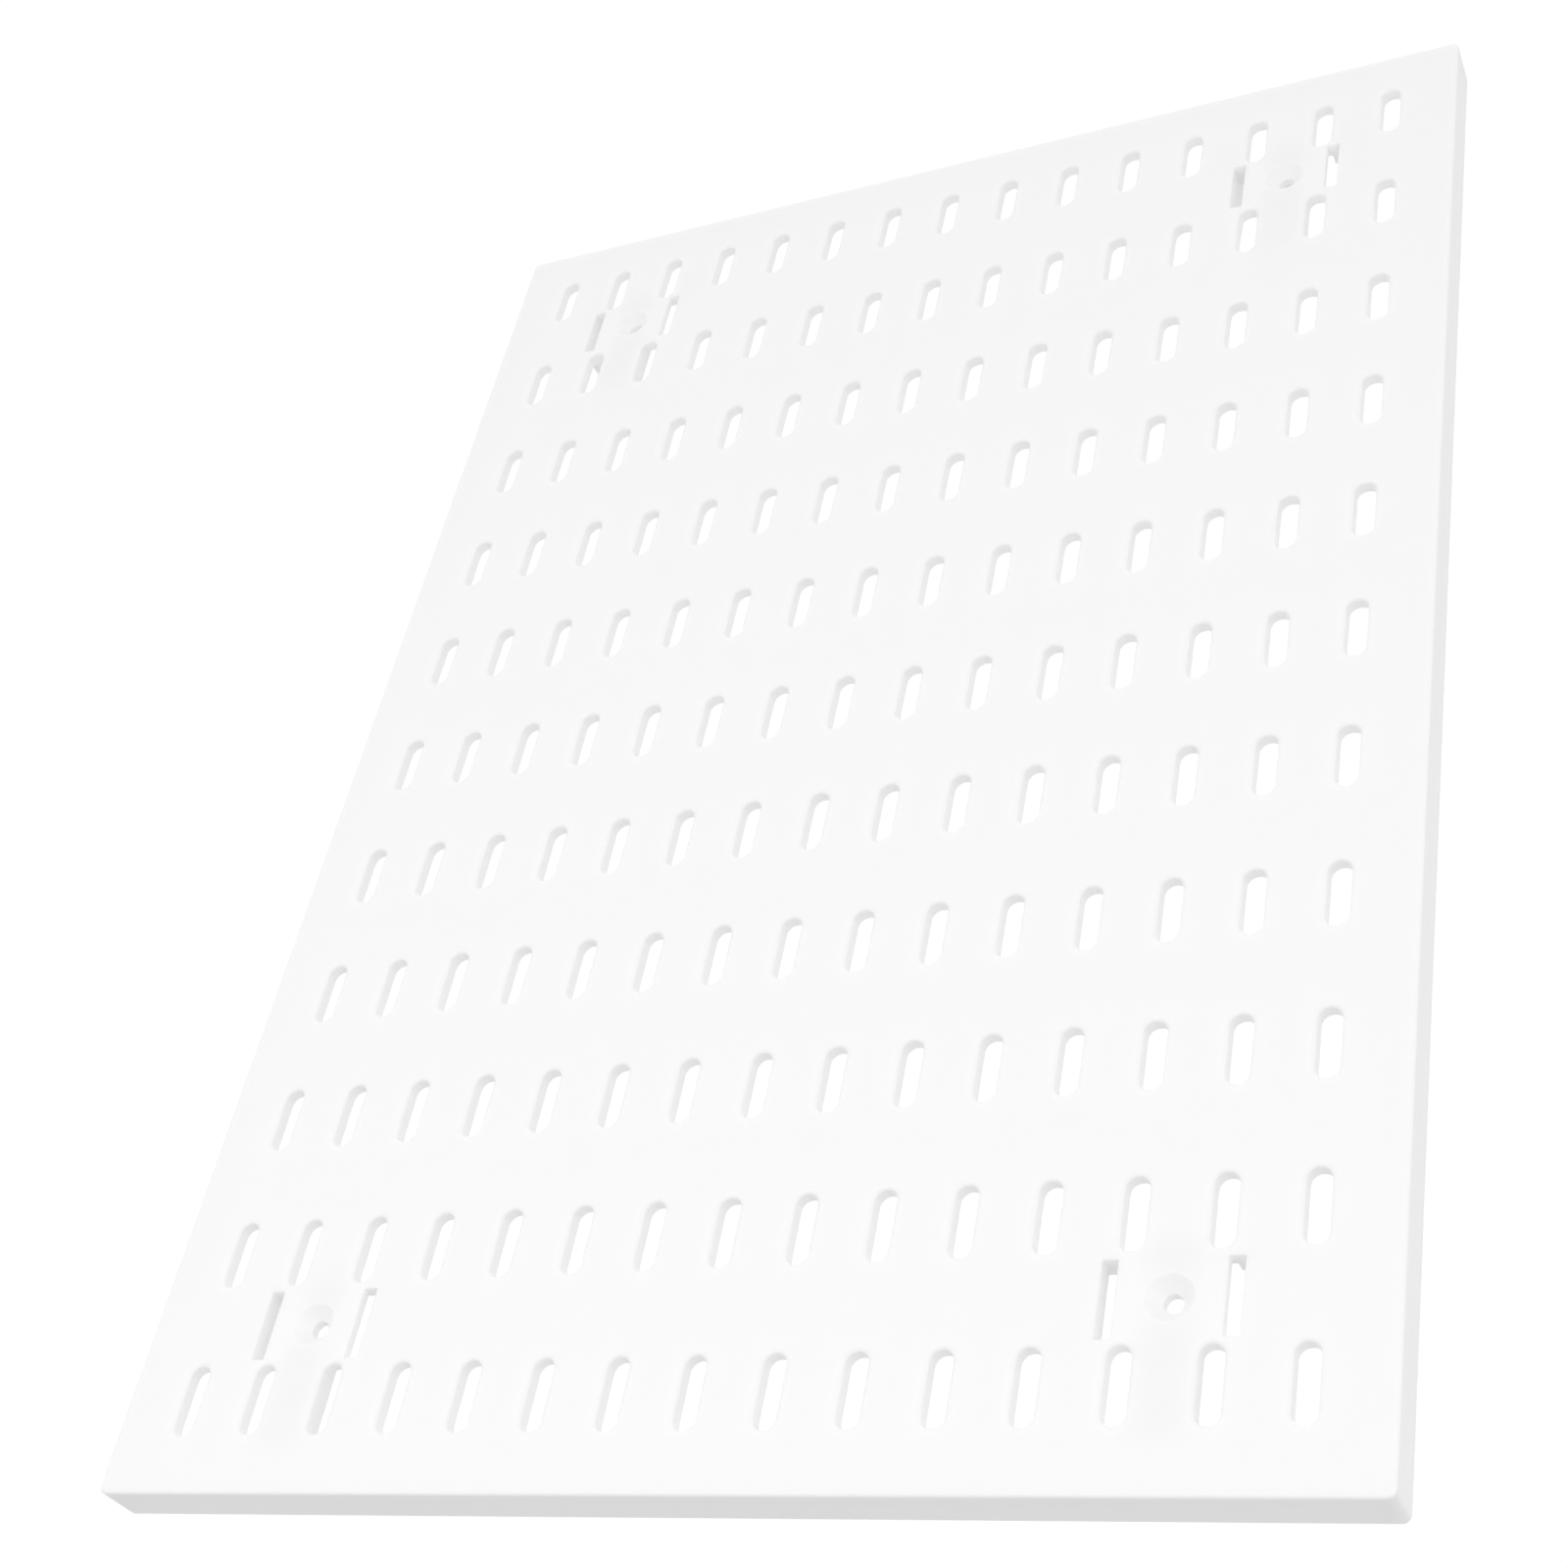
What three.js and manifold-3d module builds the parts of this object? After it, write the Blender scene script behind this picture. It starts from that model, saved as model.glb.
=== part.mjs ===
// A white moulded slotted wall panel, hung on four stick-on wall bases.
//
// Units are millimetres. +X is to the right and +Z is up, seen from the front. The face looks
// along -Y and the wall is behind, on the +Y side. The origin is the middle of the panel: half
// its width, half its height and half its depth. "Depth" below is measured from the face
// towards the wall.

import * as THREE from 'three';
import { mergeGeometries, mergeVertices } from 'three/addons/utils/BufferGeometryUtils.js';
import Module from 'manifold-3d';

const wasm = await Module();
wasm.setup();

// ---- Driving dimensions ---------------------------------------------------------------------

// Panel outline: a shallow tray, open towards the wall.
const PANEL_WIDTH = 318.4;
const PANEL_HEIGHT = 448.6;
const PANEL_DEPTH = 13;
const FACE_THICKNESS = 3.7;
const SKIRT_THICKNESS = 2.4;
const CORNER_RADIUS = 2.2;
const INNER_CORNER_RADIUS = 1;
const EDGE_RADIUS = 1;
const SKIRT_DRAFT = 0.02; // the skirt leans in by this much for each millimetre of depth

// Slot grid.
const SLOT_COLUMNS = 15;
const SLOT_ROWS = 11;
const COLUMN_PITCH = 20;
const ROW_PITCH = 40;
const SLOT_WIDTH = 5.6;
const SLOT_LENGTH = 18.2;

// Four hanging stations, each centred between two columns and two rows.
const STATION_X = 109.8;
const STATION_Z = 180.4;
const WINDOW_OFFSET = 14; // from the station's centre to each window's centre
const WINDOW_WIDTH = 3.6;
const WINDOW_HEIGHT = 18.4;
const COUNTERSINK_RADIUS = 5.4;
const COUNTERSINK_DEPTH = 3.2;
const SCREW_HOLE_RADIUS = 2.3;

// Raised parts on the back of a station, and the thinner face beside its pad.
const PAD_HALF_WIDTH = 7;
const PAD_BACK_DEPTH = 5.5;
const PAD_TOP = 13.9;
const PAD_BOTTOM = -31;
const THIN_FACE_DEPTH = 2.2;
const RIB_THICKNESS = 2;
const RIM_BACK_DEPTH = 5;
const RIM_HALF_HEIGHT = 10.5;
const RIB_BACK_DEPTH = 12.6;
const RIB_BOTTOM = -6.7;
const RIB_TOP = 19.6;
const BLOCK_INNER_X = 12.9;
const BLOCK_BACK_DEPTH = 7;
const BLOCK_HEIGHT = 3;

// The hooks above the screw hole: the panel's points down, the wall base's up in front of it.
const HOOK_HALF_WIDTH = 3.7;
const BASE_BOTTOM = 6.7;
const HOOK_LEVEL_THICKNESS = 1.6;
const HOOK_OVERLAP = 3.4;
const PANEL_HOOK_THICKNESS = 1.6;
const BASE_HOOK_THICKNESS = 1.5;
const CLEARANCE = 0.3;

// Wall base: a small plate on foam tape, with the hook on its front.
const TAPE_THICKNESS = 0.8;
const BASE_WIDTH = 7.4;
const BASE_HEIGHT = 10;
const TAPE_WIDTH = 6;
const TAPE_HEIGHT = 9.4;
const BASE_CORNER_RADIUS = 1;
const BASE_PLATE_THICKNESS = 1.8;

// Segment counts and small overlaps for joins and cuts.
const CORNER_SEGMENTS = 3; // segments in each quarter turn of a corner or edge
const SLOT_SEGMENTS = 2; // segments in each quarter turn of a slot's end
const ROUND_SEGMENTS = 24;
const JOIN = 0.4;
const PAST = 2;

// ---- Worked-out dimensions ------------------------------------------------------------------

const WINDOW_INNER_X = WINDOW_OFFSET - WINDOW_WIDTH / 2;
const WINDOW_OUTER_X = WINDOW_OFFSET + WINDOW_WIDTH / 2;
const BASE_BACK_DEPTH = PANEL_DEPTH - TAPE_THICKNESS;
const BASE_FRONT_DEPTH = BASE_BACK_DEPTH - BASE_PLATE_THICKNESS;
const PANEL_HOOK_BACK_DEPTH = BASE_FRONT_DEPTH - CLEARANCE;
const PANEL_HOOK_FRONT_DEPTH = PANEL_HOOK_BACK_DEPTH - PANEL_HOOK_THICKNESS;
const BASE_HOOK_BACK_DEPTH = PANEL_HOOK_FRONT_DEPTH - CLEARANCE;
const BASE_HOOK_FRONT_DEPTH = BASE_HOOK_BACK_DEPTH - BASE_HOOK_THICKNESS;
const BASE_MIDDLE = BASE_BOTTOM + BASE_HEIGHT / 2;
const BASE_HOOK_FLOOR = BASE_BOTTOM + HOOK_LEVEL_THICKNESS;
const PANEL_HOOK_BOTTOM = BASE_HOOK_FLOOR + CLEARANCE;
const BASE_HOOK_TOP = PANEL_HOOK_BOTTOM + HOOK_OVERLAP;
const PANEL_HOOK_CROOK = BASE_HOOK_TOP + CLEARANCE;
const PANEL_HOOK_TOP = PANEL_HOOK_CROOK + HOOK_LEVEL_THICKNESS;

// ---- Helpers --------------------------------------------------------------------------------

// The y coordinate of a place this far behind the face.
function yAt(depth) {
  return depth - PANEL_DEPTH / 2;
}

// A solid from a closed three.js geometry.
function solid(geometry) {
  const bare = geometry.clone();
  bare.deleteAttribute('normal');
  bare.deleteAttribute('uv');
  const merged = mergeVertices(bare, 1e-5);
  return new wasm.Manifold(new wasm.Mesh({
    numProp: 3,
    vertProperties: new Float32Array(merged.attributes.position.array),
    triVerts: new Uint32Array(merged.index.array),
  }));
}

// A three.js geometry from a solid.
function geometryOf(body) {
  const mesh = body.getMesh();
  const geometry = new THREE.BufferGeometry();
  geometry.setAttribute('position', new THREE.BufferAttribute(mesh.vertProperties, 3));
  geometry.setIndex(new THREE.BufferAttribute(mesh.triVerts, 1));
  geometry.computeVertexNormals();
  return geometry;
}

// A box between two x values, two depths and two z values.
function boxBetween(x0, x1, depth0, depth1, z0, z1) {
  const box = new THREE.BoxGeometry(x1 - x0, depth1 - depth0, z1 - z0);
  box.translate((x0 + x1) / 2, yAt((depth0 + depth1) / 2), (z0 + z1) / 2);
  return box;
}

// The same box on both sides of x = 0.
function mirroredBoxes(x0, x1, depth0, depth1, z0, z1) {
  return [
    boxBetween(x0, x1, depth0, depth1, z0, z1),
    boxBetween(-x1, -x0, depth0, depth1, z0, z1),
  ];
}

// A shape drawn in X and Z, filled between two depths.
function slab(shape, depth0, depth1, curveSegments = CORNER_SEGMENTS) {
  const geometry = new THREE.ExtrudeGeometry(shape, {
    depth: depth1 - depth0,
    bevelEnabled: false,
    curveSegments,
  });
  geometry.rotateX(Math.PI / 2);
  geometry.translate(0, yAt(depth1), 0);
  return geometry;
}

// A rectangle with rounded corners, around (0, centreZ).
function roundedRectangle(width, height, radius, centreZ = 0) {
  const right = width / 2 - radius;
  const top = centreZ + height / 2 - radius;
  const bottom = centreZ - height / 2 + radius;
  const shape = new THREE.Shape();
  shape.absarc(right, bottom, radius, -Math.PI / 2, 0);
  shape.absarc(right, top, radius, 0, Math.PI / 2);
  shape.absarc(-right, top, radius, Math.PI / 2, Math.PI);
  shape.absarc(-right, bottom, radius, Math.PI, 1.5 * Math.PI);
  return shape;
}

// An upright slot outline with round ends, around (0, centreZ).
function uprightSlot(width, length, centreZ = 0) {
  const radius = width / 2;
  const reach = length / 2 - radius;
  const path = new THREE.Shape();
  path.absarc(0, centreZ + reach, radius, 0, Math.PI);
  path.absarc(0, centreZ - reach, radius, Math.PI, 2 * Math.PI);
  return path;
}

// Leans the sides of a geometry inwards as they go deeper.
function leanSidesIn(geometry) {
  const position = geometry.attributes.position;
  for (let i = 0; i < position.count; i += 1) {
    const inset = SKIRT_DRAFT * (position.getY(i) - yAt(0));
    position.setX(i, position.getX(i) - Math.sign(position.getX(i)) * inset);
    position.setZ(i, position.getZ(i) - Math.sign(position.getZ(i)) * inset);
  }
  return geometry;
}

// Copies of one geometry at each of a list of [x, z] places, as one geometry.
function copiesAt(geometry, places) {
  return mergeGeometries(places.map(([x, z]) => geometry.clone().translate(x, 0, z)));
}

function joined(geometries) {
  return geometries.map(solid).reduce((sum, next) => sum.add(next));
}

// ---- Places ---------------------------------------------------------------------------------

const STATIONS = [
  { name: 'top_left', x: -STATION_X, z: STATION_Z },
  { name: 'top_right', x: STATION_X, z: STATION_Z },
  { name: 'bottom_left', x: -STATION_X, z: -STATION_Z },
  { name: 'bottom_right', x: STATION_X, z: -STATION_Z },
];

function slotPlaces() {
  const places = [];
  for (let row = 0; row < SLOT_ROWS; row += 1) {
    for (let column = 0; column < SLOT_COLUMNS; column += 1) {
      const x = (column - (SLOT_COLUMNS - 1) / 2) * COLUMN_PITCH;
      const z = (row - (SLOT_ROWS - 1) / 2) * ROW_PITCH;
      places.push([x, z]);
    }
  }
  return places;
}

// ---- The panel ------------------------------------------------------------------------------

// The outside of the tray: rounded front edge, sides that lean in, cut flat at the wall.
function trayOutside() {
  const geometry = new THREE.ExtrudeGeometry(
    roundedRectangle(PANEL_WIDTH, PANEL_HEIGHT, CORNER_RADIUS),
    {
      depth: PANEL_DEPTH - EDGE_RADIUS,
      bevelEnabled: true,
      bevelThickness: EDGE_RADIUS,
      bevelSize: EDGE_RADIUS,
      bevelOffset: -EDGE_RADIUS,
      bevelSegments: CORNER_SEGMENTS,
      curveSegments: CORNER_SEGMENTS,
    },
  );
  geometry.rotateX(Math.PI / 2);
  geometry.translate(0, yAt(PANEL_DEPTH), 0);
  const halfWidth = PANEL_WIDTH / 2 + PAST;
  const halfHeight = PANEL_HEIGHT / 2 + PAST;
  const wall = boxBetween(
    -halfWidth, halfWidth, PANEL_DEPTH, PANEL_DEPTH + 2 * PAST, -halfHeight, halfHeight,
  );
  return solid(leanSidesIn(geometry)).subtract(solid(wall));
}

// The hollow behind the face, inside the skirt.
function trayHollow() {
  const outline = roundedRectangle(
    PANEL_WIDTH - 2 * SKIRT_THICKNESS,
    PANEL_HEIGHT - 2 * SKIRT_THICKNESS,
    INNER_CORNER_RADIUS,
  );
  return solid(leanSidesIn(slab(outline, FACE_THICKNESS, PANEL_DEPTH + PAST)));
}

// The raised pad around the screw hole.
function stationPad() {
  return boxBetween(
    -PAD_HALF_WIDTH, PAD_HALF_WIDTH, FACE_THICKNESS - JOIN, PAD_BACK_DEPTH, PAD_BOTTOM, PAD_TOP,
  );
}

// The shallow recess between the pad and each window, which leaves the face thinner there.
function thinFaceCuts() {
  return mirroredBoxes(
    PAD_HALF_WIDTH, WINDOW_INNER_X + JOIN, THIN_FACE_DEPTH, PAD_BACK_DEPTH + PAST,
    -WINDOW_HEIGHT / 2, WINDOW_HEIGHT / 2,
  );
}

// A low rim outside each window, with a block at its top that reaches in over the window.
function windowRims() {
  const front = FACE_THICKNESS - JOIN;
  const outer = WINDOW_OUTER_X + RIB_THICKNESS;
  const blockBottom = WINDOW_HEIGHT / 2;
  return [
    ...mirroredBoxes(
      WINDOW_OUTER_X, outer, front, RIM_BACK_DEPTH, -RIM_HALF_HEIGHT, RIM_HALF_HEIGHT,
    ),
    ...mirroredBoxes(
      BLOCK_INNER_X, outer, front, BLOCK_BACK_DEPTH, blockBottom, blockBottom + BLOCK_HEIGHT,
    ),
  ];
}

// The deep rib outside each window of an upper station.
function deepRibs() {
  const outer = WINDOW_OUTER_X + RIB_THICKNESS;
  return mirroredBoxes(
    WINDOW_OUTER_X, outer, FACE_THICKNESS - JOIN, RIB_BACK_DEPTH, RIB_BOTTOM, RIB_TOP,
  );
}

// The panel's hook: a level part that goes back from the pad, and a lip that points down.
function panelHook() {
  return [
    boxBetween(
      -HOOK_HALF_WIDTH, HOOK_HALF_WIDTH,
      PAD_BACK_DEPTH - JOIN, PANEL_HOOK_BACK_DEPTH,
      PANEL_HOOK_CROOK, PANEL_HOOK_TOP,
    ),
    boxBetween(
      -HOOK_HALF_WIDTH, HOOK_HALF_WIDTH,
      PANEL_HOOK_FRONT_DEPTH, PANEL_HOOK_BACK_DEPTH,
      PANEL_HOOK_BOTTOM, PANEL_HOOK_TOP,
    ),
  ];
}

// Everything raised on the back of one station.
function stationBack(station) {
  const pieces = [stationPad(), ...windowRims(), ...panelHook()];
  if (station.z > 0) {
    pieces.push(...deepRibs());
  }
  return joined(pieces.map((piece) => piece.translate(station.x, 0, station.z)));
}

// The countersunk screw hole, turned about its own axis.
function screwHole() {
  const front = yAt(0);
  const profile = [
    [0, front - PAST],
    [COUNTERSINK_RADIUS, front - PAST],
    [COUNTERSINK_RADIUS, front],
    [SCREW_HOLE_RADIUS, front + COUNTERSINK_DEPTH],
    [SCREW_HOLE_RADIUS, front + PAD_BACK_DEPTH + PAST],
    [0, front + PAD_BACK_DEPTH + PAST],
  ];
  return new THREE.LatheGeometry(profile.map(([r, y]) => new THREE.Vector2(r, y)), ROUND_SEGMENTS);
}

// All the openings through the face.
function faceOpenings() {
  const outline = uprightSlot(SLOT_WIDTH, SLOT_LENGTH);
  const slot = slab(outline, -PAST, FACE_THICKNESS + PAST, SLOT_SEGMENTS);
  const slots = solid(copiesAt(slot, slotPlaces()));
  const windows = mirroredBoxes(
    WINDOW_INNER_X, WINDOW_OUTER_X, -PAST, FACE_THICKNESS + JOIN,
    -WINDOW_HEIGHT / 2, WINDOW_HEIGHT / 2,
  );
  const places = STATIONS.map((station) => [station.x, station.z]);
  const cuts = [screwHole(), mergeGeometries(windows), mergeGeometries(thinFaceCuts())];
  return cuts.map((cut) => solid(copiesAt(cut, places))).reduce((sum, cut) => sum.add(cut), slots);
}

function panelGeometry() {
  let body = trayOutside().subtract(trayHollow());
  for (const station of STATIONS) {
    body = body.add(stationBack(station));
  }
  return geometryOf(body.subtract(faceOpenings()));
}

// ---- The wall bases and their tape ----------------------------------------------------------

function tapeGeometry() {
  const outline = roundedRectangle(TAPE_WIDTH, TAPE_HEIGHT, BASE_CORNER_RADIUS, BASE_MIDDLE);
  return slab(outline, BASE_BACK_DEPTH, PANEL_DEPTH);
}

// A plate with a hook: a level part that comes forward, and a lip that points up.
function baseGeometry() {
  const outline = roundedRectangle(BASE_WIDTH, BASE_HEIGHT, BASE_CORNER_RADIUS, BASE_MIDDLE);
  const level = boxBetween(
    -HOOK_HALF_WIDTH, HOOK_HALF_WIDTH,
    BASE_HOOK_FRONT_DEPTH, BASE_FRONT_DEPTH + JOIN,
    BASE_BOTTOM, BASE_HOOK_FLOOR,
  );
  const lip = boxBetween(
    -HOOK_HALF_WIDTH, HOOK_HALF_WIDTH,
    BASE_HOOK_FRONT_DEPTH, BASE_HOOK_BACK_DEPTH,
    BASE_BOTTOM, BASE_HOOK_TOP,
  );
  return geometryOf(joined([slab(outline, BASE_FRONT_DEPTH, BASE_BACK_DEPTH), level, lip]));
}

// ---- Materials ------------------------------------------------------------------------------

function panelPlastic() {
  return new THREE.MeshStandardMaterial({ color: 0xf4f4f3, roughness: 0.45, metalness: 0 });
}

function basePlastic() {
  return new THREE.MeshStandardMaterial({ color: 0xe6e7e6, roughness: 0.5, metalness: 0 });
}

function foamTape() {
  return new THREE.MeshStandardMaterial({ color: 0xc9c9c4, roughness: 0.95, metalness: 0 });
}

// ---- The assembly ---------------------------------------------------------------------------

function piece(name, geometry, material) {
  const mesh = new THREE.Mesh(geometry, material);
  mesh.name = name;
  return mesh;
}

const wallPanel = new THREE.Group();
wallPanel.add(piece('slotted_panel', panelGeometry(), panelPlastic()));

for (const station of STATIONS) {
  const mounting = new THREE.Group();
  mounting.position.set(station.x, 0, station.z);
  mounting.add(piece(`wall_base_${station.name}`, baseGeometry(), basePlastic()));
  mounting.add(piece(`foam_tape_${station.name}`, tapeGeometry(), foamTape()));
  wallPanel.add(mounting);
}

export default wallPanel;
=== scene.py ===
import math

import bmesh
import bpy
from mathutils import Matrix, Vector


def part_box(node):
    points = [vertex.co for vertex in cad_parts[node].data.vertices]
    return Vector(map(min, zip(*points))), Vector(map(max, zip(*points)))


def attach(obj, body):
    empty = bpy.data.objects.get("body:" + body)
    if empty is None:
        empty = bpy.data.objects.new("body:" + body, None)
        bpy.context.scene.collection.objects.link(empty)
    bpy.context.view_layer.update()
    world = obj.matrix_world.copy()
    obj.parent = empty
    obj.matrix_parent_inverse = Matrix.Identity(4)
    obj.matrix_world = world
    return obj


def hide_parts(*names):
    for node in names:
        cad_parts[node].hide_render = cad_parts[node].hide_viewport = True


# A white moulded slotted wall panel, hung on four stick-on wall bases.
#
# Lengths of the pieces are in millimetres, and turned into metres where a mesh is made. Lengths
# in the materials and the studio are in metres. X is to the right and Z is up, seen from the
# front. The face looks along -Y. "Depth" is measured from the face towards the wall.

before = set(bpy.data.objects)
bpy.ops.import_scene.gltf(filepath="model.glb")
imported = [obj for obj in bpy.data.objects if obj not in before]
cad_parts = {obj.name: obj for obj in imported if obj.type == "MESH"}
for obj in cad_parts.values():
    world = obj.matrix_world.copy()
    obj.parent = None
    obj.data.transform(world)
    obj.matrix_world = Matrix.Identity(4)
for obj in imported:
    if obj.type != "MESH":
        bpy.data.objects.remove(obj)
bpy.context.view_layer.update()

MM = 0.001

# ---- The panel, from the frame ------------------------------------------------------------

panel_low, panel_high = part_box("slotted_panel")
FACE_Y = panel_low.y
HALF_WIDTH = (panel_high.x - panel_low.x) / 2 / MM
HALF_HEIGHT = (panel_high.z - panel_low.z) / 2 / MM
PANEL_DEPTH = (panel_high.y - panel_low.y) / MM

# ---- The panel's own dimensions -----------------------------------------------------------

FACE_THICKNESS = 3.7
SKIRT_THICKNESS = 2.4
CORNER_RADIUS = 2.2
INNER_CORNER_RADIUS = 1.2
LEAST_INNER_CORNER = 0.3
EDGE_RADIUS = 0.7
LEAN = 0.02  # how far the skirt leans inwards, per millimetre of depth
BACK_EDGE_RADIUS = 0.3
FLOOR_FILLET = 1.2

SLOT_COLUMNS = 15
SLOT_ROWS = 11
COLUMN_PITCH = 20
ROW_PITCH = 40
SLOT_HALF_WIDTH = 2.8
SLOT_HALF_LENGTH = 9.1
SLOT_EDGE = 1.6
SLOT_EDGE_DEPTH = 0.8

STATION_X = 109.8
STATION_Z = 180.4
WINDOW_OFFSET = 14
WINDOW_HALF_WIDTH = 1.8
WINDOW_HALF_HEIGHT = 9.2
WINDOW_CORNER = 0.25
WINDOW_EDGE = 0.3
COUNTERSINK_RADIUS = 5.4
COUNTERSINK_DEPTH = 3.2
COUNTERSINK_EDGE = 0.5
COUNTERSINK_EDGE_DEPTH = 0.25
SCREW_HOLE_RADIUS = 2.3
THIN_FACE_DEPTH = 2.2
THIN_FACE_CORNER = 0.3

# Raised parts behind the face. Each has a flared root, and all have the same rounded end.
RAISED_EDGE = 0.3
PAD_HALF_WIDTH = 7
PAD_TOP = 13.9
PAD_BOTTOM = -31
PAD_BACK_DEPTH = 5.5
PAD_CORNER = 0.8
PAD_ROOT = 0.15
RIB_INNER_X = 15.8
RIB_OUTER_X = 17.8
RIB_BOTTOM = -6.7
RIB_TOP = 19.6
RIB_BACK_DEPTH = 12.6
RIB_CORNER = 0.4
RIB_ROOT = 0.6
RIM_HALF_HEIGHT = 10.5
RIM_BACK_DEPTH = 5
RIM_CORNER = 0.3
RIM_ROOT = 0.4
BLOCK_INNER_X = 12.9
BLOCK_BOTTOM = 9.2
BLOCK_TOP = 12.2
BLOCK_BACK_DEPTH = 7
BLOCK_CORNER = 0.3
BLOCK_ROOT = 0.3

HOOK_HALF_WIDTH = 3.7
HOOK_LEVEL_THICKNESS = 1.6
HOOK_BEVEL = 0.3
PANEL_HOOK_FRONT_DEPTH = 8.5
PANEL_HOOK_BACK_DEPTH = 10.1
PANEL_HOOK_BOTTOM = 8.6
PANEL_HOOK_CROOK = 12.3

# ---- The wall bases and their tape --------------------------------------------------------

BASE_CORNER_RADIUS = 1
BASE_FRONT_DEPTH = 10.4
BASE_BACK_DEPTH = 12.2
BASE_HOOK_FRONT_DEPTH = 6.7
BASE_HOOK_BACK_DEPTH = 8.2
BASE_HOOK_TOP = 5.3  # above the base's lower edge
BASE_EDGE = 0.3
TAPE_FILM = 0.12
TAPE_FOAM_START = TAPE_FILM * 1.2
TAPE_INSET = 0.15

# ---- Mesh quality -------------------------------------------------------------------------

CORNER_SEGMENTS = 8
ROUND_SEGMENTS = 12
BASE_CORNER_SEGMENTS = 6
RAISED_CORNER_SEGMENTS = 4
SMALL_CORNER_SEGMENTS = 3
EDGE_SEGMENTS = 6
BASE_EDGE_SEGMENTS = 4
SMALL_EDGE_SEGMENTS = 3
SHARP_ANGLE = 38
LEAST_RADIUS = 0.02
ROUND_GAP = 1e-3  # what is left of the straight sides of an outline that is a full circle
DOUBLED = 1e-7  # points closer than this are one point, in metres
JOIN = 0.4  # how far one solid reaches into the next before they are joined
PAST = 1.0  # how far a cutting tool reaches past the surface it cuts


# ---- Mesh helpers -------------------------------------------------------------------------

def place(x, depth, z):
    """A point given in millimetres, in the frame's metres."""
    return Vector((x * MM, FACE_Y + depth * MM, z * MM))


def outline(half_width, half_height, radius, segments):
    """Points round a rectangle with rounded corners, as (x, z)."""
    points = []
    for corner, (side_x, side_z) in enumerate(((1, 1), (-1, 1), (-1, -1), (1, -1))):
        centre_x = side_x * (half_width - radius)
        centre_z = side_z * (half_height - radius)
        for i in range(segments + 1):
            angle = math.pi / 2 * (corner + i / segments)
            points.append((
                centre_x + radius * math.cos(angle), centre_z + radius * math.sin(angle),
            ))
    return points


def grown(half_width, half_height, radius, segments, offset):
    """The same outline moved outwards by offset."""
    return outline(
        half_width + offset, half_height + offset, max(radius + offset, LEAST_RADIUS), segments,
    )


def closed(bm):
    """Merges doubled points and turns every face outwards."""
    bmesh.ops.remove_doubles(bm, verts=bm.verts, dist=DOUBLED)
    bmesh.ops.recalc_face_normals(bm, faces=bm.faces)
    return bm


def loft(rings, centre=(0, 0)):
    """A closed solid through rings of points, each ring at its own depth."""
    bm = bmesh.new()
    loops = []
    for points, depth in rings:
        loops.append([bm.verts.new(place(x + centre[0], depth, z + centre[1])) for x, z in points])
    for near, far in zip(loops, loops[1:]):
        for i in range(len(near)):
            j = (i + 1) % len(near)
            bm.faces.new((near[i], near[j], far[j], far[i]))
    bm.faces.new(loops[0])
    bm.faces.new(tuple(reversed(loops[-1])))
    return closed(bm)


def layered(half_width, half_height, radius, segments, steps, centre):
    """A closed solid through one outline, moved outwards by an offset at each depth."""
    return loft(
        [
            (grown(half_width, half_height, radius, segments, offset), depth)
            for offset, depth in steps
        ],
        centre,
    )


def quarter(steps):
    """Angles of a quarter turn."""
    return [math.pi / 2 * i / steps for i in range(steps + 1)]


def edge_over(width, depth, drop):
    """Offsets and depths of a rounded edge that starts wide at this depth and narrows to 0."""
    return [
        (width * (1 - math.sin(a)), depth + drop * (1 - math.cos(a)))
        for a in quarter(EDGE_SEGMENTS)
    ]


def front_edge(radius, depth, steps):
    """Offsets and depths of a rounded edge that starts inset and ends at the full outline."""
    return [
        (-radius * (1 - math.sin(a)), depth + radius * (1 - math.cos(a)))
        for a in quarter(steps)
    ]


def raised_between(x0, x1, z0, z1, corner, back_depth, root, centre):
    """A feature on the back of the face: flared root, upright sides, rounded end."""
    steps = [(root, FACE_THICKNESS - JOIN)] + edge_over(root, FACE_THICKNESS, root)
    for a in quarter(SMALL_EDGE_SEGMENTS):
        steps.append((
            -RAISED_EDGE * (1 - math.cos(a)), back_depth - RAISED_EDGE * (1 - math.sin(a)),
        ))
    middle = (centre[0] + (x0 + x1) / 2, centre[1] + (z0 + z1) / 2)
    return layered(
        abs(x1 - x0) / 2, (z1 - z0) / 2, corner, RAISED_CORNER_SEGMENTS, steps, middle,
    )


def cutter(half_width, half_height, radius, segments, edge, edge_depth, centre):
    """A tool for an opening through the face, flared at the front so that its edge is rounded."""
    steps = [(edge, -PAST)] + edge_over(edge, 0, edge_depth) + [(0, PANEL_DEPTH)]
    return layered(half_width, half_height, radius, segments, steps, centre)


def bar_along_x(profile, x0, x1):
    """A profile drawn in depth and z, filled from x0 to x1, with its edges rounded."""
    bm = bmesh.new()
    ends = [[bm.verts.new(place(x, depth, z)) for depth, z in profile] for x in (x0, x1)]
    count = len(profile)
    for i in range(count):
        j = (i + 1) % count
        bm.faces.new((ends[0][i], ends[0][j], ends[1][j], ends[1][i]))
    bm.faces.new(ends[0])
    bm.faces.new(tuple(reversed(ends[1])))
    bmesh.ops.bevel(
        bm, geom=bm.edges[:], offset=HOOK_BEVEL * MM, segments=SMALL_EDGE_SEGMENTS, profile=0.5,
        affect="EDGES",
    )
    return closed(bm)


def merged(meshes):
    """Several bmeshes as one mesh of separate closed solids."""
    whole = bpy.data.meshes.new("solids")
    bm = bmesh.new()
    for part in meshes:
        part.to_mesh(whole)
        part.free()
        bm.from_mesh(whole)
    bm.to_mesh(whole)
    bm.free()
    return whole


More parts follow.
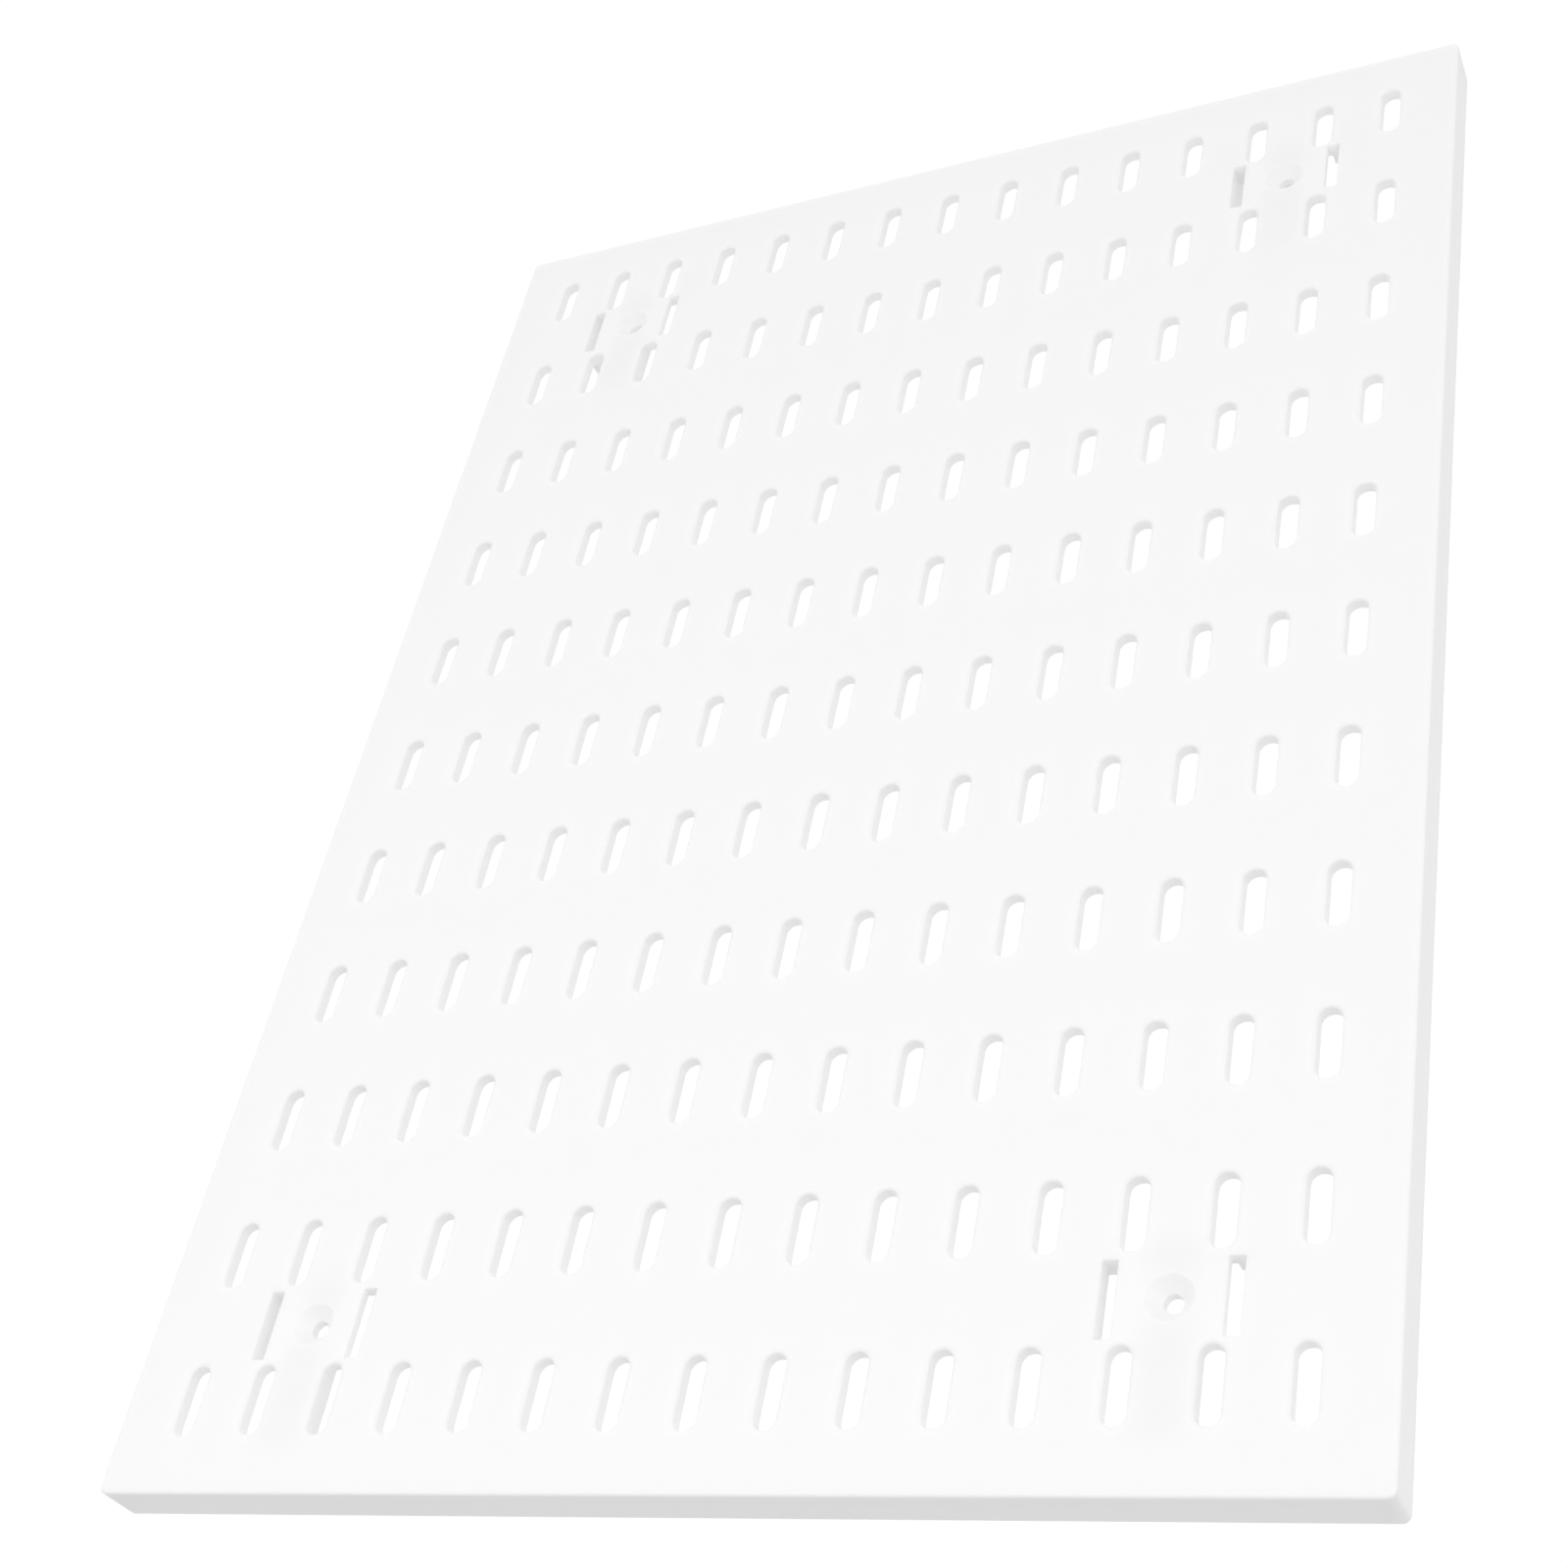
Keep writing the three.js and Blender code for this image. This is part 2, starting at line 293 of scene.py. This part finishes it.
def combined(name, first, steps):
    """Applies (operation, mesh) steps to the first mesh, one after another, as a new object."""
    piece = bpy.data.objects.new(name, first)
    bpy.context.scene.collection.objects.link(piece)
    for operation, mesh in steps:
        tool = bpy.data.objects.new("tool", mesh)
        bpy.context.scene.collection.objects.link(tool)
        boolean = piece.modifiers.new("join", "BOOLEAN")
        boolean.solver = "MANIFOLD"
        boolean.operation = operation
        boolean.object = tool
        evaluated = piece.evaluated_get(bpy.context.evaluated_depsgraph_get())
        result = bpy.data.meshes.new_from_object(evaluated)
        piece.modifiers.clear()
        piece.data = result
        bpy.data.objects.remove(tool)
    piece.data.name = name
    return piece


def smooth(piece):
    """Smooth shading with hard edges where faces meet steeply, and flat faces kept flat."""
    piece.data.shade_smooth()
    piece.data.set_sharp_from_angle(angle=math.radians(SHARP_ANGLE))
    weighted = piece.modifiers.new("flat_faces", "WEIGHTED_NORMAL")
    weighted.keep_sharp = True
    weighted.weight = 100
    return piece


# ---- The panel ----------------------------------------------------------------------------

STATIONS = [
    (name, side_x * STATION_X, side_z * STATION_Z)
    for name, side_x, side_z in (
        ("top_left", -1, 1), ("top_right", 1, 1), ("bottom_left", -1, -1), ("bottom_right", 1, -1),
    )
]


def tray():
    """The shallow tray: rounded front edge, leaning skirt, and the hollow behind the face."""
    def outer(offset, depth):
        return (grown(HALF_WIDTH, HALF_HEIGHT, CORNER_RADIUS, CORNER_SEGMENTS, offset), depth)

    def inner(offset, depth):
        inset = LEAN * (depth - EDGE_RADIUS) + SKIRT_THICKNESS
        return (
            outline(
                HALF_WIDTH - inset - offset, HALF_HEIGHT - inset - offset,
                max(INNER_CORNER_RADIUS - offset, LEAST_INNER_CORNER), CORNER_SEGMENTS,
            ),
            depth,
        )

    rings = [outer(offset, depth) for offset, depth in front_edge(EDGE_RADIUS, 0, CORNER_SEGMENTS)]
    back = PANEL_DEPTH - BACK_EDGE_RADIUS
    for a in quarter(SMALL_EDGE_SEGMENTS):
        depth = back + BACK_EDGE_RADIUS * math.sin(a)
        rings.append(outer(
            -LEAN * (depth - EDGE_RADIUS) - BACK_EDGE_RADIUS * (1 - math.cos(a)), depth,
        ))
    for a in quarter(SMALL_EDGE_SEGMENTS):
        depth = back + BACK_EDGE_RADIUS * math.cos(a)
        rings.append(inner(-BACK_EDGE_RADIUS * (1 - math.sin(a)), depth))
    for a in quarter(EDGE_SEGMENTS):
        depth = FACE_THICKNESS + FLOOR_FILLET * (1 - math.sin(a))
        rings.append(inner(FLOOR_FILLET * (1 - math.cos(a)), depth))
    return loft(rings)


def panel_hooks(centre):
    """The panel's hook above the screw hole, pointing down."""
    top = PANEL_HOOK_CROOK + HOOK_LEVEL_THICKNESS
    profile = [
        (PAD_BACK_DEPTH - 2 * JOIN, top),
        (PAD_BACK_DEPTH - 2 * JOIN, PANEL_HOOK_CROOK),
        (PANEL_HOOK_FRONT_DEPTH, PANEL_HOOK_CROOK),
        (PANEL_HOOK_FRONT_DEPTH, PANEL_HOOK_BOTTOM),
        (PANEL_HOOK_BACK_DEPTH, PANEL_HOOK_BOTTOM),
        (PANEL_HOOK_BACK_DEPTH, top),
    ]
    profile = [(depth, z + centre[1]) for depth, z in profile]
    return [bar_along_x(profile, centre[0] - HOOK_HALF_WIDTH, centre[0] + HOOK_HALF_WIDTH)]


def both_sides(x0, x1, z0, z1, corner, back_depth, root, centre):
    """A raised feature on both sides of a station."""
    return [
        raised_between(side * x0, side * x1, z0, z1, corner, back_depth, root, centre)
        for side in (-1, 1)
    ]


def pads(centre):
    """The pad behind the screw hole."""
    return [raised_between(
        -PAD_HALF_WIDTH, PAD_HALF_WIDTH, PAD_BOTTOM, PAD_TOP,
        PAD_CORNER, PAD_BACK_DEPTH, PAD_ROOT, centre,
    )]


def rims(centre):
    """The low rims outside the windows."""
    return both_sides(
        RIB_INNER_X, RIB_OUTER_X, -RIM_HALF_HEIGHT, RIM_HALF_HEIGHT,
        RIM_CORNER, RIM_BACK_DEPTH, RIM_ROOT, centre,
    )


def blocks(centre):
    """The blocks above the windows."""
    return both_sides(
        BLOCK_INNER_X, RIB_OUTER_X, BLOCK_BOTTOM, BLOCK_TOP,
        BLOCK_CORNER, BLOCK_BACK_DEPTH, BLOCK_ROOT, centre,
    )


def deep_ribs(centre):
    """The deep ribs outside the windows, which only the upper stations have."""
    return both_sides(
        RIB_INNER_X, RIB_OUTER_X, RIB_BOTTOM, RIB_TOP,
        RIB_CORNER, RIB_BACK_DEPTH, RIB_ROOT, centre,
    )


def slots(centre):
    """The tool for a slot."""
    return [cutter(
        SLOT_HALF_WIDTH, SLOT_HALF_LENGTH, SLOT_HALF_WIDTH, ROUND_SEGMENTS // 2,
        SLOT_EDGE, SLOT_EDGE_DEPTH, centre,
    )]


def thin_faces(centre):
    """The tools for the shallow recess between the pad and each window."""
    half_width = (WINDOW_OFFSET - WINDOW_HALF_WIDTH + JOIN - PAD_HALF_WIDTH) / 2
    shape = outline(half_width, WINDOW_HALF_HEIGHT, THIN_FACE_CORNER, SMALL_CORNER_SEGMENTS)
    return [
        loft(
            [(shape, THIN_FACE_DEPTH), (shape, PAD_BACK_DEPTH + PAST)],
            (centre[0] + side * (PAD_HALF_WIDTH + half_width), centre[1]),
        )
        for side in (-1, 1)
    ]


def windows(centre):
    """The tools for the two windows of a station."""
    return [
        cutter(
            WINDOW_HALF_WIDTH, WINDOW_HALF_HEIGHT, WINDOW_CORNER, SMALL_CORNER_SEGMENTS,
            WINDOW_EDGE, WINDOW_EDGE, (centre[0] + side * WINDOW_OFFSET, centre[1]),
        )
        for side in (-1, 1)
    ]


def screw_holes(centre):
    """The tool for a countersunk hole: a softened rim, a cone and a straight hole."""
    steps = [(COUNTERSINK_RADIUS + COUNTERSINK_EDGE, -PAST)]
    for offset, depth in edge_over(COUNTERSINK_EDGE, 0, COUNTERSINK_EDGE_DEPTH):
        steps.append((COUNTERSINK_RADIUS + offset, depth))
    steps.append((SCREW_HOLE_RADIUS, COUNTERSINK_DEPTH))
    steps.append((SCREW_HOLE_RADIUS, PAD_BACK_DEPTH + PAST))
    rings = [(outline(r, r, r - ROUND_GAP, ROUND_SEGMENTS), depth) for r, depth in steps]
    return [loft(rings, centre)]


def slot_places():
    """The centres of the slots."""
    return [
        ((column - (SLOT_COLUMNS - 1) / 2) * COLUMN_PITCH, (row - (SLOT_ROWS - 1) / 2) * ROW_PITCH)
        for row in range(SLOT_ROWS)
        for column in range(SLOT_COLUMNS)
    ]


def make_panel():
    stations = [(x, z) for _, x, z in STATIONS]
    upper = [(x, z) for x, z in stations if z > 0]
    steps = [
        (operation, merged([part for centre in centres for part in make(centre)]))
        for operation, make, centres in (
            ("UNION", pads, stations),
            ("UNION", rims, stations),
            ("UNION", blocks, stations),
            ("UNION", panel_hooks, stations),
            ("UNION", deep_ribs, upper),
            ("DIFFERENCE", slots, slot_places()),
            ("DIFFERENCE", thin_faces, stations),
            ("DIFFERENCE", windows, stations),
            ("DIFFERENCE", screw_holes, stations),
        )
    ]
    piece = smooth(combined("panel_moulding", merged([tray()]), steps))
    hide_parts("slotted_panel")
    return piece


# ---- The wall bases and their tape --------------------------------------------------------

def middle_and_size(node):
    """The middle and the half sizes of a node's box in X and Z, in millimetres."""
    low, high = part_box(node)
    middle = ((low.x + high.x) / 2 / MM, (low.z + high.z) / 2 / MM)
    return middle, (high.x - low.x) / 2 / MM, (high.z - low.z) / 2 / MM


def base_layers(half_width, half_height, steps, middle):
    """A closed solid with the base's outline."""
    return layered(
        half_width, half_height, BASE_CORNER_RADIUS, BASE_CORNER_SEGMENTS, steps, middle,
    )


def make_base(name):
    node = f"wall_base_{name}"
    middle, half_width, half_height = middle_and_size(node)
    bottom = middle[1] - half_height
    floor = bottom + HOOK_LEVEL_THICKNESS
    edge = front_edge(BASE_EDGE, BASE_FRONT_DEPTH, BASE_EDGE_SEGMENTS)
    plate = base_layers(half_width, half_height, edge + [(0, BASE_BACK_DEPTH)], middle)
    hook = bar_along_x(
        [
            (BASE_HOOK_FRONT_DEPTH, bottom),
            (BASE_FRONT_DEPTH + JOIN, bottom),
            (BASE_FRONT_DEPTH + JOIN, floor),
            (BASE_HOOK_BACK_DEPTH, floor),
            (BASE_HOOK_BACK_DEPTH, bottom + BASE_HOOK_TOP),
            (BASE_HOOK_FRONT_DEPTH, bottom + BASE_HOOK_TOP),
        ],
        middle[0] - half_width, middle[0] + half_width,
    )
    piece = smooth(combined(f"base_moulding_{name}", merged([plate]), [("UNION", merged([hook]))]))
    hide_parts(node)
    return piece


def make_tape(name):
    """A pad of tape: an adhesive film on both sides of slightly narrower foam."""
    node = f"foam_tape_{name}"
    middle, half_width, half_height = middle_and_size(node)
    front, back = BASE_BACK_DEPTH, PANEL_DEPTH
    steps = [
        (0, front), (0, front + TAPE_FILM), (-TAPE_INSET, front + TAPE_FOAM_START),
        (-TAPE_INSET, back - TAPE_FOAM_START), (0, back - TAPE_FILM), (0, back),
    ]
    slab = base_layers(half_width, half_height, steps, middle)
    piece = smooth(combined(f"tape_pad_{name}", merged([slab]), []))
    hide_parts(node)
    return piece


# ---- Materials ----------------------------------------------------------------------------

TRANSLUCENCY = 0.85
SCATTER_DISTANCE = 0.0025
PLASTIC_IOR = 1.48
TONE_SCALE, TONE_DETAIL = 22, 3
GLOSS_SCALE, GLOSS_DETAIL = 140, 4
SMOOTHER, ROUGHER = 0.04, 0.05  # how far the gloss strays from the material's roughness
GRAIN_SCALE, GRAIN_DETAIL = 2600, 2
GRAIN_DEPTH = 0.00003
WHITE, WHITE_FLOW = (0.95, 0.95, 0.946), (0.94, 0.94, 0.936)
OFF_WHITE, OFF_WHITE_FLOW = (0.82, 0.825, 0.82), (0.79, 0.795, 0.79)

FOAM_CELL_SCALE = 3800
# The first foam colour is painted shade for the sunken cell middles; the second is the foam's own
# pale colour at the cell walls.
FOAM_PIT_PAINTED_SHADE, FOAM_WALL = (0.62, 0.62, 0.60), (0.80, 0.80, 0.78)
FOAM_WALL_START = 0.55
FOAM_BUMP, FOAM_BUMP_DEPTH = 0.5, 0.0001
FOAM_ROUGHNESS = 0.9

FLOOR_LIGHT, FLOOR_DARK = (0.70, 0.70, 0.70), (0.68, 0.68, 0.68)
FLOOR_NOISE_SCALE, FLOOR_NOISE_DETAIL = 4, 2
FLOOR_ROUGHNESS = 0.8


def new_material(name):
    """A new material, its nodes and links, its shader, and the object's coordinates."""
    material = bpy.data.materials.new(name)
    material.use_nodes = True
    nodes = material.node_tree.nodes
    where = nodes.new("ShaderNodeTexCoord").outputs["Object"]
    return material, nodes, material.node_tree.links, nodes["Principled BSDF"], where


def noise(nodes, links, coordinates, scale, detail):
    node = nodes.new("ShaderNodeTexNoise")
    node.inputs["Scale"].default_value = scale
    node.inputs["Detail"].default_value = detail
    links.new(coordinates, node.inputs["Vector"])
    return node.outputs["Fac"]


def ranged(nodes, links, value, low, high):
    """The middle of a noise's range, spread from low to high."""
    node = nodes.new("ShaderNodeMapRange")
    node.inputs["From Min"].default_value = 0.3
    node.inputs["From Max"].default_value = 0.7
    node.inputs["To Min"].default_value = low
    node.inputs["To Max"].default_value = high
    links.new(value, node.inputs["Value"])
    return node.outputs["Result"]


def two_tones(nodes, links, factor, first, second):
    """A colour that drifts from the first to the second."""
    tone = nodes.new("ShaderNodeMix")
    tone.data_type = "RGBA"
    tone.inputs["A"].default_value = (*first, 1)
    tone.inputs["B"].default_value = (*second, 1)
    links.new(factor, tone.inputs["Factor"])
    return tone.outputs["Result"]


def add_bump(nodes, links, shader, height, strength, distance):
    bump = nodes.new("ShaderNodeBump")
    bump.inputs["Strength"].default_value = strength
    bump.inputs["Distance"].default_value = distance
    links.new(height, bump.inputs["Height"])
    links.new(bump.outputs["Normal"], shader.inputs["Normal"])


def moulded_plastic(name, light, dark, roughness, grain):
    """Satin moulded plastic: faint flow tone, uneven gloss and a fine spark-eroded grain."""
    material, nodes, links, shader, where = new_material(name)
    flow = ranged(nodes, links, noise(nodes, links, where, TONE_SCALE, TONE_DETAIL), 0, 1)
    links.new(two_tones(nodes, links, flow, light, dark), shader.inputs["Base Color"])
    gloss = noise(nodes, links, where, GLOSS_SCALE, GLOSS_DETAIL)
    uneven = ranged(nodes, links, gloss, roughness - SMOOTHER, roughness + ROUGHER)
    links.new(uneven, shader.inputs["Roughness"])
    height = noise(nodes, links, where, GRAIN_SCALE, GRAIN_DETAIL)
    add_bump(nodes, links, shader, height, grain, GRAIN_DEPTH)
    shader.inputs["IOR"].default_value = PLASTIC_IOR
    shader.inputs["Subsurface Weight"].default_value = TRANSLUCENCY
    shader.inputs["Subsurface Radius"].default_value = (1, 1, 1)
    shader.inputs["Subsurface Scale"].default_value = SCATTER_DISTANCE
    return material


def foam(name):
    """Closed-cell foam: small cells whose sunken middles are darkened with painted shade, so they
    are darker in the middle than at their walls.
    """
    material, nodes, links, shader, where = new_material(name)
    cells = nodes.new("ShaderNodeTexVoronoi")
    cells.inputs["Scale"].default_value = FOAM_CELL_SCALE
    links.new(where, cells.inputs["Vector"])
    pit_shade_ramp = nodes.new("ShaderNodeValToRGB")
    # Painted shade: the sunken middle of each cell gets the darker colour, fading to the foam's
    # own colour at the walls.
    pit_shade_ramp.color_ramp.elements[0].color = (*FOAM_PIT_PAINTED_SHADE, 1)
    pit_shade_ramp.color_ramp.elements[1].color = (*FOAM_WALL, 1)
    pit_shade_ramp.color_ramp.elements[1].position = FOAM_WALL_START
    links.new(cells.outputs["Distance"], pit_shade_ramp.inputs["Fac"])
    links.new(pit_shade_ramp.outputs["Color"], shader.inputs["Base Color"])
    add_bump(nodes, links, shader, cells.outputs["Distance"], FOAM_BUMP, FOAM_BUMP_DEPTH)
    shader.inputs["Roughness"].default_value = FOAM_ROUGHNESS
    return material


def dress(piece, material, body):
    """Gives a piece its material, in the mesh's material slot, and its body."""
    piece.data.materials.clear()
    piece.data.materials.append(material)
    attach(piece, body)


white = moulded_plastic("white_moulded_plastic", WHITE, WHITE_FLOW, 0.46, 0.12)
off_white = moulded_plastic("off_white_moulded_plastic", OFF_WHITE, OFF_WHITE_FLOW, 0.5, 0.2)
tape_foam = foam("pale_foam_tape")

dress(make_panel(), white, "panel")
for station, _, _ in STATIONS:
    dress(make_base(station), off_white, "wall_mounts")
    dress(make_tape(station), tape_foam, "wall_mounts")


# ---- Studio -------------------------------------------------------------------------------

FLOOR_Z = -1.6
FLOOR_RADIUS = 30
FLOOR_SEGMENTS = 96
BACKDROP = 1.02
AMBIENT = 0.875
LIGHT_SIZE = 0.8
LIGHT_TARGET = (0, 0, -0.05)
LIGHTS = (
    # name, place, watts
    ("key", (1.05, -0.9, -0.5), 2.6),
    ("fill", (-0.4, -1.3, -0.45), 3.8),
    ("back", (-0.7, 1.2, 0.8), 2.5),
)
CAMERA_PLACE = (0.28146, -0.4674, -0.42313)
CAMERA_TARGET = (-0.01152, FACE_Y, -0.02655)
CAMERA_ROLL = 12.97
CAMERA_LENS = 58.52
CAMERA_SENSOR = 36
BOUNCES, DIFFUSE_BOUNCES = 16, 12  # light bounces many times inside translucent white plastic


def make_floor():
    bm = bmesh.new()
    bmesh.ops.create_circle(bm, cap_ends=True, segments=FLOOR_SEGMENTS, radius=FLOOR_RADIUS)
    mesh = bpy.data.meshes.new("studio_floor")
    bm.to_mesh(mesh)
    bm.free()
    floor = bpy.data.objects.new("studio_floor", mesh)
    floor.location.z = FLOOR_Z
    bpy.context.scene.collection.objects.link(floor)
    material, nodes, links, shader, where = new_material("pale_floor")
    shade = noise(nodes, links, where, FLOOR_NOISE_SCALE, FLOOR_NOISE_DETAIL)
    colour = two_tones(nodes, links, shade, FLOOR_LIGHT, FLOOR_DARK)
    links.new(colour, shader.inputs["Base Color"])
    shader.inputs["Roughness"].default_value = FLOOR_ROUGHNESS
    floor.data.materials.append(material)


def background(nodes, strength):
    node = nodes.new("ShaderNodeBackground")
    node.inputs["Color"].default_value = (1, 1, 1, 1)
    node.inputs["Strength"].default_value = strength
    return node.outputs["Background"]


def make_world():
    """A white backdrop for the camera, and a softer even light for everything else."""
    world = bpy.data.worlds.new("studio")
    bpy.context.scene.world = world
    world.use_nodes = True
    nodes, links = world.node_tree.nodes, world.node_tree.links
    nodes.clear()
    mix = nodes.new("ShaderNodeMixShader")
    path = nodes.new("ShaderNodeLightPath")
    links.new(path.outputs["Is Camera Ray"], mix.inputs["Fac"])
    links.new(background(nodes, AMBIENT), mix.inputs[1])
    links.new(background(nodes, BACKDROP), mix.inputs[2])
    links.new(mix.outputs["Shader"], nodes.new("ShaderNodeOutputWorld").inputs["Surface"])


def soft_light(name, location, watts):
    data = bpy.data.lights.new(name, "AREA")
    data.shape = "DISK"
    data.size = LIGHT_SIZE
    data.energy = watts
    light = bpy.data.objects.new(name, data)
    light.location = location
    light.rotation_mode = "QUATERNION"
    aim = Vector(LIGHT_TARGET) - Vector(location)
    light.rotation_quaternion = aim.to_track_quat("-Z", "Y")
    bpy.context.scene.collection.objects.link(light)


def make_camera():
    """A low camera to the right of the panel, looking up at it, slightly rolled."""
    data = bpy.data.cameras.new("camera")
    data.sensor_width = CAMERA_SENSOR
    data.lens = CAMERA_LENS
    camera = bpy.data.objects.new("camera", data)
    aim = (Vector(CAMERA_TARGET) - Vector(CAMERA_PLACE)).to_track_quat("-Z", "Y").to_matrix()
    turn = aim @ Matrix.Rotation(math.radians(CAMERA_ROLL), 3, "Z")
    camera.matrix_world = Matrix.Translation(CAMERA_PLACE) @ turn.to_4x4()
    bpy.context.scene.collection.objects.link(camera)
    bpy.context.scene.camera = camera


make_floor()
make_world()
for name, location, watts in LIGHTS:
    soft_light(name, location, watts)
make_camera()
bpy.context.scene.view_settings.view_transform = "Standard"
bpy.context.scene.cycles.max_bounces = BOUNCES
bpy.context.scene.cycles.diffuse_bounces = DIFFUSE_BOUNCES
